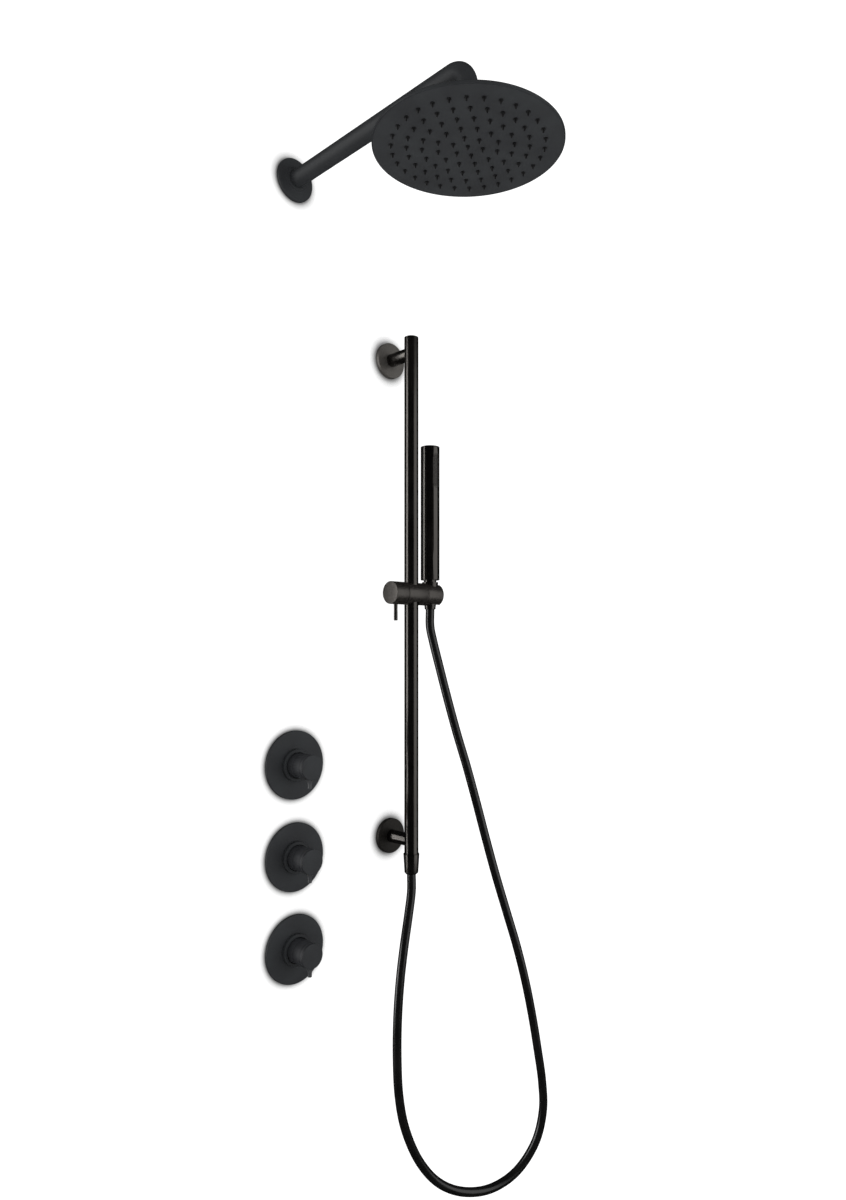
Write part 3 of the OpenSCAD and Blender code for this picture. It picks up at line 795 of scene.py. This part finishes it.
@dataclass
class Hose:
    """The hose, as three lengths laid along one line, with an end piece on the upper nut's body.
    """

    finish: bpy.types.Material
    diameter: float = 14 * MM
    start: Point = (0.0, -0.053, -0.052)
    end: Point = (0.041, -0.053, 0.362)
    low: tuple[Point, ...] = (
        (0, 0, 0), (0, 0, -28), (-6, 0, -63), (-16, 0, -113), (-24, 0, -163),
        (-29, 0, -218), (-30, 0, -278), (-27, -1, -338), (-16, -4, -393), (7, -11, -448),
        (40, -21, -491), (82, -35, -517), (130, -51, -525), (176, -66, -510),
        (211, -77, -472), (225, -82, -423), (222, -83, -373), (213, -81, -318),
    )
    high: tuple[Point, ...] = (
        (162, -77, -672), (149, -73, -612), (134, -67, -552), (116, -60, -492),
        (99, -52, -432), (84, -44, -372), (70, -36, -312), (56, -27, -252),
        (42, -18, -197), (28, -11, -142), (16, -5, -92), (6, -1, -52), (0, 0, -27), (0, 0, 0),
    )
    sides: int = 28
    steps: int = 12
    cuts: tuple[int, int] = (25, 28)
    # These give where each length would blend from one body to the next, the low one on a slant so
    # that only the rising strand would follow the slider; nothing reads them.
    blends: tuple[tuple[Point, Point], ...] = (
        ((-0.022, 0, 0), (0.1067, 0, 0.0772)),
        ((0, 0, 0.117), (0, 0, 0.263)),
        ((0, 0, 0.277), (0, 0, 0.352)),
    )
    hidden_end: float = 60 * MM
    hidden_slack: float = 0.985

    def knots(self) -> list[Vector]:
        """Gives the points that the hose is laid through.

        Returns:
            The knots, from the outlet to the hand shower.
        """
        return [Vector(self.start) + MM * Vector(p) for p in self.low] + [
            Vector(self.end) + MM * Vector(p) for p in self.high
        ]

    def line(self, first: int, last: int) -> list[Vector]:
        """Gives the smooth line between two knots.

        Args:
            first: The first knot's number.
            last: The last knot's number.

        Returns:
            Points about two millimetres to half a centimetre apart.
        """
        p = self.knots()
        p = [2 * p[0] - p[1]] + p + [2 * p[-1] - p[-2]]
        points: list[Vector] = []
        for i in range(first + 1, last + 1):
            a, b, c, d = p[i - 1 : i + 3]
            for k in range(self.steps):
                t = k / self.steps
                points.append(
                    0.5 * (2 * b + (c - a) * t + (2 * a - 5 * b + 4 * c - d) * t * t
                           + (3 * b - 3 * c + d - a) * t ** 3)
                )
        points.append(p[last + 1])
        return points

    def tube(self, points: list[Vector], name: str, radius: float) -> bpy.types.Object:
        """Makes one length of hose.

        Args:
            points: Its line.
            name: The piece's name.
            radius: Its radius.

        Returns:
            The closed tube.
        """
        side = Vector((0.34, 0.94, 0.0)).normalized()
        piece = new_piece(swept(points, side, radius, self.sides), name, self.finish)
        shade_by_angle(piece, 50)
        return piece

    def length(self, points: list[Vector]) -> float:
        """Measures a line."""
        return sum((b - a).length for a, b in zip(points, points[1:]))

    def build(self) -> None:
        first, second = self.cuts
        last = len(self.knots()) - 1
        spans = (
            ("hose_low", 0, first, "wall_parts", "bush"),
            ("hose_middle", first, second, "bush", "slider"),
            ("hose_top", second, last, "slider", "cradle"),
        )
        for (name, a, b, body_a, body_b), (blend_from, blend_to) in zip(spans, self.blends):
            points = self.line(a, b)
            piece = self.tube(points, name, self.diameter / 2)
            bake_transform(piece)
            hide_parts("hose")
            LOG.info("%s: %.0f mm", name, 1000 * self.length(points))
        # The end that slides out of the cradle with the hand shower
        tail = [p for p in self.line(second, last) if p.z > self.end[2] - self.hidden_end]
        stub = self.tube(tail, "hose_end", self.hidden_slack * self.diameter / 2)
        settle(stub, "cone", ())


# ---------------------------------------------------------------- rain shower


@dataclass
class RainShower:
    """The round head, its nut, the arm and the arm's flange."""

    finishes: Finishes
    head_radius: float = 112.5
    rim: float = 4.5
    crown: float = 4.0
    neck: float = 13.5
    arm_radius: float = 12.0
    bend: float = 26.0
    reach: float = 346.0
    tail: float = 14.0
    bend_steps: int = 24
    nozzle_flange: float = 2.6
    nozzle_long: float = 4.5
    pitch: float = 18.0
    rings: int = 5

    def head(self) -> None:
        """Makes the head's shell, with a rolled rim."""
        low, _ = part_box("head_shell")
        centre = middle("head_shell")
        top = self.rim + self.crown
        radius = self.head_radius
        Turning(
            "head_dome", "head", ("head_shell",), Slot.MATT, self.finishes.matt,
            Vector((centre.x, centre.y, low[2])), Along.UP,
            [(radius, 0), (radius, self.rim - 1.5), (radius - 1.5, self.rim), (24, top),
             (12.5, top + 0.6), (10.9, top + 2.2), (10.9, top + self.neck),
             (6, top + self.neck), (6, top - 1.5), (24, top - 1.5),
             (radius - 2.2, self.rim - 1.5), (radius - 1.5, self.rim - 2.2), (radius - 1.5, 0)],
            edge=0.8, corners={0: 0.35, 12: 0.2, 3: 4.0}, steps=192,
        ).build()

    def nut(self) -> None:
        """Makes the nut round the ball, with two fine grooves for grip."""
        low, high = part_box("swivel_nut")
        centre = middle("swivel_nut")
        tall = (high[2] - low[2]) / MM
        groove = [
            point
            for h in (0.35 * tall, 0.5 * tall)
            for point in ((15, h - 0.6), (14.5, h), (15, h + 0.6))
        ]
        Turning(
            "ball_nut", "head", ("swivel_nut",), Slot.MATT, self.finishes.matt,
            Vector((centre.x, centre.y, low[2])), Along.UP,
            [(10.95, 0), (15, 0), *groove, (15, tall), (9, tall), (9.4, tall - 0.5),
             (12, tall - 8), (11, tall - 15.5), (10.95, tall - 16)],
            edge=0.4, corners={1: 1.0, 8: 1.2},
        ).build()

    def arm(self) -> None:
        """Makes the arm: one bent tube, its end collar and its flange."""
        flange = middle("arm_flange")
        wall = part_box("arm_flange")[1][1]
        x, z = flange.x, flange.z
        reach, bend = self.reach * MM, self.bend * MM
        points = [Vector((x, wall - k * (reach - bend) / 6, z)) for k in range(7)]
        for k in range(1, self.bend_steps + 1):
            a = math.pi / 2 * k / self.bend_steps
            points.append(
                Vector((x, wall - reach + bend - bend * math.sin(a), z - bend * (1 - math.cos(a))))
            )
        points.append(points[-1] - Vector((0, 0, self.tail * MM)))
        tube = new_piece(
            swept(points, Vector((1, 0, 0)), self.arm_radius * MM, 96), "arm_tube",
            self.finishes.matt,
        )
        shade_by_angle(tube)
        settle(tube, "wall_parts", ("shower_arm",))
        collar = middle("arm_end")
        low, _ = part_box("arm_end")
        Turning(
            "arm_collar", "wall_parts", ("arm_end",), Slot.MATT, self.finishes.matt,
            Vector((collar.x, collar.y, low[2])), Along.UP,
            [(5.05, 0), (self.arm_radius, 0), (self.arm_radius, 7.6),
             (self.arm_radius - 0.4, 8), (5.05, 8)],
            edge=0.3, corners={1: 1.0},
        ).build()
        radius = (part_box("arm_flange")[1][0] - x) / MM
        Turning(
            "arm_rose", "wall_parts", ("arm_flange",), Slot.MATT, self.finishes.matt,
            Vector((x, wall, z)), Along.OUT,
            [(self.arm_radius + 0.05, 0), (radius, 0), (radius, 4.2), (radius - 1, 5.5),
             (self.arm_radius + 5, 5.7), (self.arm_radius + 3.2, 8.5),
             (self.arm_radius + 0.05, 8.5)],
            edge=0.9, corners={0: 0, 1: 0.2, 4: 2.0, 6: 0.3},
        ).build()

    def nozzles(self) -> None:
        """Makes the nozzles, each with a flat flange and a pointed stem."""
        low, high = (Vector(p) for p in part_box("spray_nozzles"))
        centre = middle("spray_nozzles")
        outline = [
            (0, 0), (self.nozzle_flange, 0), (self.nozzle_flange, 0.8), (1.6, 1.0),
            (1.0, 4.1), (0.6, 4.5), (0.45, 4.5), (0.45, 3.2), (0, 3.2),
        ]
        face = Vector((centre.x, centre.y, low.z + self.nozzle_long * MM))
        mesh = bmesh.new()
        for ring in range(self.rings + 1):
            for k in range(max(1, 6 * ring)):
                a = math.radians(-90) + TURN * k / max(1, 6 * ring)
                out = ring * self.pitch * MM
                spot = face + Vector((out * math.cos(a), out * math.sin(a), 0))
                one = turned(
                    [(r * MM, h * MM) for r, h in outline],
                    frame_at(tuple(spot), Along.DOWN.value),
                    20,
                )
                add_part(mesh, one)
        piece = new_piece(mesh, "nozzles", self.finishes.silicone)
        shade_by_angle(piece)
        settle(piece, "head", ("spray_nozzles",))

    def build(self) -> None:
        """Makes every piece of the rain shower."""
        self.head()
        self.nozzles()
        self.nut()
        self.arm()


# ---------------------------------------------------------------- slide rail


@dataclass
class SlideRail:
    """The rail with its cap, and the brackets' flanges."""

    finishes: Finishes
    radius: float = 11.0
    wall: float = 1.5
    seam: float = 0.5

    def tube(self) -> None:
        """Makes the rail and its cap, with hairline seams at the rail's ends."""
        rail = middle("rail_tube")
        low, high = (p[2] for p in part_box("rail_tube"))
        inner = self.radius - self.wall
        tall = (high - low) / MM
        Turning(
            "rail", "wall_parts", ("rail_tube",), Slot.SATIN, self.finishes.satin,
            Vector((rail.x, rail.y, low)), Along.UP,
            [(inner, 0), (self.radius, 0), (self.radius, tall), (inner, tall)],
            edge=self.seam, corners={0: 0, 3: 0},
        ).build()
        top = (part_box("rail_cap")[1][2] - high) / MM
        Turning(
            "rail_end", "wall_parts", ("rail_cap",), Slot.SATIN, self.finishes.satin,
            Vector((rail.x, rail.y, high)), Along.UP,
            [(0, -6), (inner - 0.05, -6), (inner - 0.05, 0), (self.radius, 0),
             (self.radius, top), (0, top)],
            edge=0.5, corners={1: 0.2, 2: 0, 3: 0.1},
        ).build()

    def flange(
        self, name: str, node: str, recess: float, finish: bpy.types.Material
    ) -> None:
        """Makes a bracket's flange.

        Args:
            name: The piece's name.
            node: The node that it stands for.
            recess: The radius of the hollow behind it.
            finish: Its coat.
        """
        centre = middle(node)
        low, high = (Vector(p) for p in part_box(node))
        radius, thick = (high.x - low.x) / 2 / MM, (high.y - low.y) / MM
        bore = 10.05
        Turning(
            name, "wall_parts", (node,), Slot.SATIN, finish,
            Vector((centre.x, high.y, centre.z)), Along.OUT,
            [(recess, 0), (radius, 0), (radius, thick), (bore, thick),
             (bore, thick - 1.5), (recess, thick - 1.5)],
            edge=0.2, corners={2: 0.9, 3: 0.3},
        ).build()

    def build(self) -> None:
        """Makes every piece of the rail."""
        self.tube()
        # The upper flange takes a paler copy of the coat: painted light.
        self.flange("upper_rose", "upper_flange", 20.5, self.finishes.faces)
        # The lower flange takes a darker, duller copy of the coat: painted shade.
        self.flange("lower_rose", "lower_flange", 13.0, self.finishes.rose)


# ---------------------------------------------------------------- slider


@dataclass
class Slider:
    """The clamp's knob and lever; the body and the cradle keep their holes."""

    finishes: Finishes
    radius: float = 17.5

    def knob(self) -> None:
        """Makes the knob, with a bore for its screw."""
        centre = middle("clamp_knob")
        low, high = (Vector(p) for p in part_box("clamp_knob"))
        long = (high.x - low.x) / MM
        Turning(
            "clamp_wheel", "clamp", ("clamp_knob",), Slot.SATIN, self.finishes.grained,
            Vector((low.x, centre.y, centre.z)), Along.ACROSS,
            [(0, 0), (self.radius, 0), (self.radius, long), (4, long), (4, long - 19.6),
             (0, long - 19.6)],
            edge=0.4, corners={1: 1.0, 2: 0.9},
        ).build()

    def lever(self) -> None:
        """Makes the lever, with a domed end and a slight waist."""
        centre = middle("clamp_lever")
        low, high = (p[2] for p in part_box("clamp_lever"))
        long = (high - low) / MM
        Turning(
            "clamp_pin", "clamp", ("clamp_lever",), Slot.SATIN, self.finishes.satin,
            Vector((centre.x, centre.y, low)), Along.UP,
            [(0, 0), (3, 0), (3, 12), (2.85, 16), (2.95, 24.5), (2.95, long), (0, long)],
            edge=0.8, corners={2: 2.0, 3: 2.0, 4: 0.5},
        ).build()

    def build(self, nodes: dict[str, bpy.types.Object]) -> None:
        """Makes the new pieces and rounds the kept ones.

        Args:
            nodes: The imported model's objects by name.
        """
        self.knob()
        self.lever()
        for name in ("slider_body", "cradle"):
            soften(nodes[name], SLIDER_EDGE)


# ---------------------------------------------------------------- hand shower


@dataclass
class HandShower:
    """The hand shower's cap and spray strip, and the two hose nuts."""

    finishes: Finishes
    radius: float = 15.0
    strip_wall: float = 1.5
    stud_pitch: float = 3.0
    stud_radius: float = 1.0
    stud_high: float = 0.8
    columns: int = 12
    end_rows: int = 8

    def on_front(self, across: float, up: float, out: float = 0.0) -> Vector:
        """Finds a point on the hand shower's rounded front.

        Args:
            across: Distance to the right, in millimetres.
            up: Height above the strip's middle, in millimetres.
            out: Height above the surface, in millimetres.

        Returns:
            The point.
        """
        axis = middle("hand_cap")
        angle = math.asin(across / self.radius)
        reach = (self.radius + out) * MM
        return Vector((
            axis.x + reach * math.sin(angle),
            axis.y - reach * math.cos(angle),
            middle("spray_strip").z + up * MM,
        ))

    def strip(self) -> None:
        """Makes the spray strip: a curved pad with a honeycomb of low studs."""
        low, high = (Vector(p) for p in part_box("spray_strip"))
        half, tall = (high.x - low.x) / 2 / MM, (high.z - low.z) / MM
        bends = [math.radians(90 * k / self.end_rows) for k in range(1, self.end_rows + 1)]
        ends = [(half * math.sin(a), tall / 2 - half + half * math.cos(a)) for a in bends]
        rows = [(w, -h) for w, h in ends] + list(reversed(ends))
        mesh = bmesh.new()
        bmesh.ops.create_grid(mesh, x_segments=self.columns, y_segments=len(rows) - 1, size=1.0)
        grid = sorted(mesh.verts, key=lambda v: (round(v.co.y, 4), v.co.x))
        for i, vert in enumerate(grid):
            width, height = rows[i // (self.columns + 1)]
            vert.co = self.on_front(width * vert.co.x, height)
        bmesh.ops.recalc_face_normals(mesh, faces=mesh.faces)
        if sum(face.normal.y for face in mesh.faces) > 0:
            bmesh.ops.reverse_faces(mesh, faces=mesh.faces)
        bmesh.ops.solidify(mesh, geom=mesh.faces[:], thickness=self.strip_wall * MM)
        step = self.stud_pitch * math.sqrt(3) / 2
        count = int((tall / 2 - 2.5) / step)
        for row in range(-count, count + 1):
            spread = (-1, 0, 1) if row % 2 else (-1.5, -0.5, 0.5, 1.5)
            for column in spread:
                foot = self.on_front(column * self.stud_pitch, row * step, -0.1)
                tip = self.on_front(column * self.stud_pitch, row * step, 0)
                wide, top = self.stud_radius * MM, (self.stud_high + 0.1) * MM
                one = turned(
                    [(0, 0), (wide, 0), (0.75 * wide, 0.7 * top), (0.3 * wide, top), (0, top)],
                    frame_at(tuple(foot), tuple((tip - foot).normalized())),
                    12,
                )
                add_part(mesh, one)
        piece = new_piece(mesh, "hand_strip", self.finishes.strip)
        shade_by_angle(piece)
        settle(piece, "handset", ("spray_strip",))

    def cap(self) -> None:
        """Makes the cap, with a small rounded edge."""
        centre = middle("hand_cap")
        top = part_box("hand_cap")[1][2]
        Turning(
            "hand_top", "handset", ("hand_cap",), Slot.SATIN, self.finishes.satin,
            Vector((centre.x, centre.y, top)), Along.UP,
            [(0, -7), (13.45, -7), (13.45, -1.5), (self.radius, -1.5), (self.radius, 0), (0, 0)],
            edge=0.3, corners={4: 0.8, 3: 0.12},
        ).build()

    def cone(self) -> None:
        """Makes the upper nut, which tapers from the hand shower to the hose."""
        centre = middle("hose_cone")
        low, high = (p[2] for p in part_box("hose_cone"))
        long = (high - low) / MM
        Turning(
            "upper_nut", "cone", ("hose_cone",), Slot.SATIN, self.finishes.satin,
            Vector((centre.x, centre.y, low)), Along.UP,
            [(5, 0), (8.6, 0), (13, long), (10.05, long), (10.05, long - 11), (5, long - 11)],
            edge=0.3, corners={1: 0.7, 2: 0.5},
        ).build()

    def lower_nut(self) -> None:
        """Makes the lower nut, with a chamfered end round the hose."""
        centre = middle("lower_nut")
        low, high = (p[2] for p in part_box("lower_nut"))
        long = (high - low) / MM
        Turning(
            "outlet_nut", "wall_parts", ("lower_nut",), Slot.SATIN, self.finishes.satin,
            Vector((centre.x, centre.y, low)), Along.UP,
            [(5, 0), (8.5, 0), (10.8, 2.5), (12.5, long - 0.8), (12, long),
             (10.05, long), (10.05, long - 13), (5, long - 13)],
            edge=0.35, corners={2: 0.8, 3: 0.5},
        ).build()

    def build(self, nodes: dict[str, bpy.types.Object]) -> None:
        """Makes the new pieces and rounds the kept ones.

        Args:
            nodes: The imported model's objects by name.
        """
        self.cap()
        self.strip()
        self.cone()
        self.lower_nut()
        soften(nodes["hand_body"], FINE_EDGE)


# ---------------------------------------------------------------- valves


@dataclass
class Valve:
    """One valve's plate, handle and lever."""

    finishes: Finishes
    name: str
    plate_radius: float = 50.0
    plate_thick: float = 4.5
    bore: float = 21.05
    handle_radius: float = 18.0
    lever_radius: float = 3.0

    def plate(self) -> None:
        """Makes the plate, with a rounded front edge."""
        node = f"{self.name}_plate"
        centre = middle(node)
        thick = self.plate_thick
        Turning(
            f"{self.name}_rose", "wall_parts", (node,), Slot.MATT, self.finishes.matt,
            Vector((centre.x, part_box(node)[1][1], centre.z)), Along.OUT,
            [(self.bore, 0), (self.plate_radius, 0), (self.plate_radius, thick),
             (self.bore, thick)],
            edge=0.2, corners={2: 1.1, 0: 0}, steps=144,
        ).build()

    def handle(self) -> None:
        """Makes the handle, with fine turned rings on its side."""
        node = f"{self.name}_handle"
        centre = middle(node)
        low, high = (Vector(p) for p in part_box(node))
        deep = (high.y - low.y) / MM
        radius = self.handle_radius
        piece = Turning(
            f"{self.name}_knob", f"{self.name}_control", (node,), Slot.MATT,
            self.finishes.turned, Vector((centre.x, high.y, centre.z)), Along.OUT,
            [(5.05, 0), (radius, 0), (radius, deep), (0, deep), (0, deep - 3.5),
             (5.05, deep - 3.5)],
            edge=0.4, corners={2: 0.9},
        ).build()
        # The front face is coated sheet-flat, so it has no rings
        piece.data.materials.append(self.finishes.matt)
        front = low.y + 0.7 * MM
        for face in piece.data.polygons:
            if face.center.y < front:
                face.material_index = 1

    def lever(self) -> None:
        """Makes the lever, whose root flares into the handle."""
        node = f"{self.name}_lever"
        centre = middle(node)
        low, high = (p[2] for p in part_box(node))
        long = (high - low) / MM
        r = self.lever_radius
        # The lever's coat is painted paler than the handle's: painted light.
        Turning(
            f"{self.name}_pin", f"{self.name}_control", (node,), Slot.MATT,
            self.finishes.pin, Vector((centre.x, centre.y, low)), Along.UP,
            [(0, 0), (r, 0), (r, 5.0), (r + 0.5, 8.2), (r + 1.6, 10.8), (r + 3.6, 13.2),
             (r, 14.0), (r, long), (0, long)],
            edge=0.5, corners={1: 0.6, 2: 2.0, 3: 1.6, 4: 1.6, 5: 0.2, 6: 0.1}, steps=64,
        ).build()

    def build(self) -> None:
        """Makes every piece of the valve."""
        self.plate()
        self.handle()
        self.lever()


# ---------------------------------------------------------------- carried-over nodes


def dress_nodes(nodes: dict[str, bpy.types.Object], finishes: Finishes) -> None:
    """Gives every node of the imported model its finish.

    Args:
        nodes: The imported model's objects by name.
        finishes: The finishes.
    """
    table = finishes.by_node()
    for name, node in nodes.items():
        node.data.materials.clear()
        node.data.materials.append(table[name])


def main() -> None:
    """Builds the scene in order."""
    logging.basicConfig(level=logging.INFO, format="%(message)s")
    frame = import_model()
    Camera().build()
    finishes = Finishes()
    Hose(finishes.pvc).build()
    Studio().build()
    dress_nodes(frame["nodes"], finishes)
    RainShower(finishes).build()
    SlideRail(finishes).build()
    Slider(finishes).build(frame["nodes"])
    HandShower(finishes).build(frame["nodes"])
    for name in ("head", "hand", "mixer"):
        Valve(finishes, name).build()
    for name in ("upper_post", "lower_post", "valve_collars"):
        soften(frame["nodes"][name], FINE_EDGE)


if __name__ == "__main__":
    main()
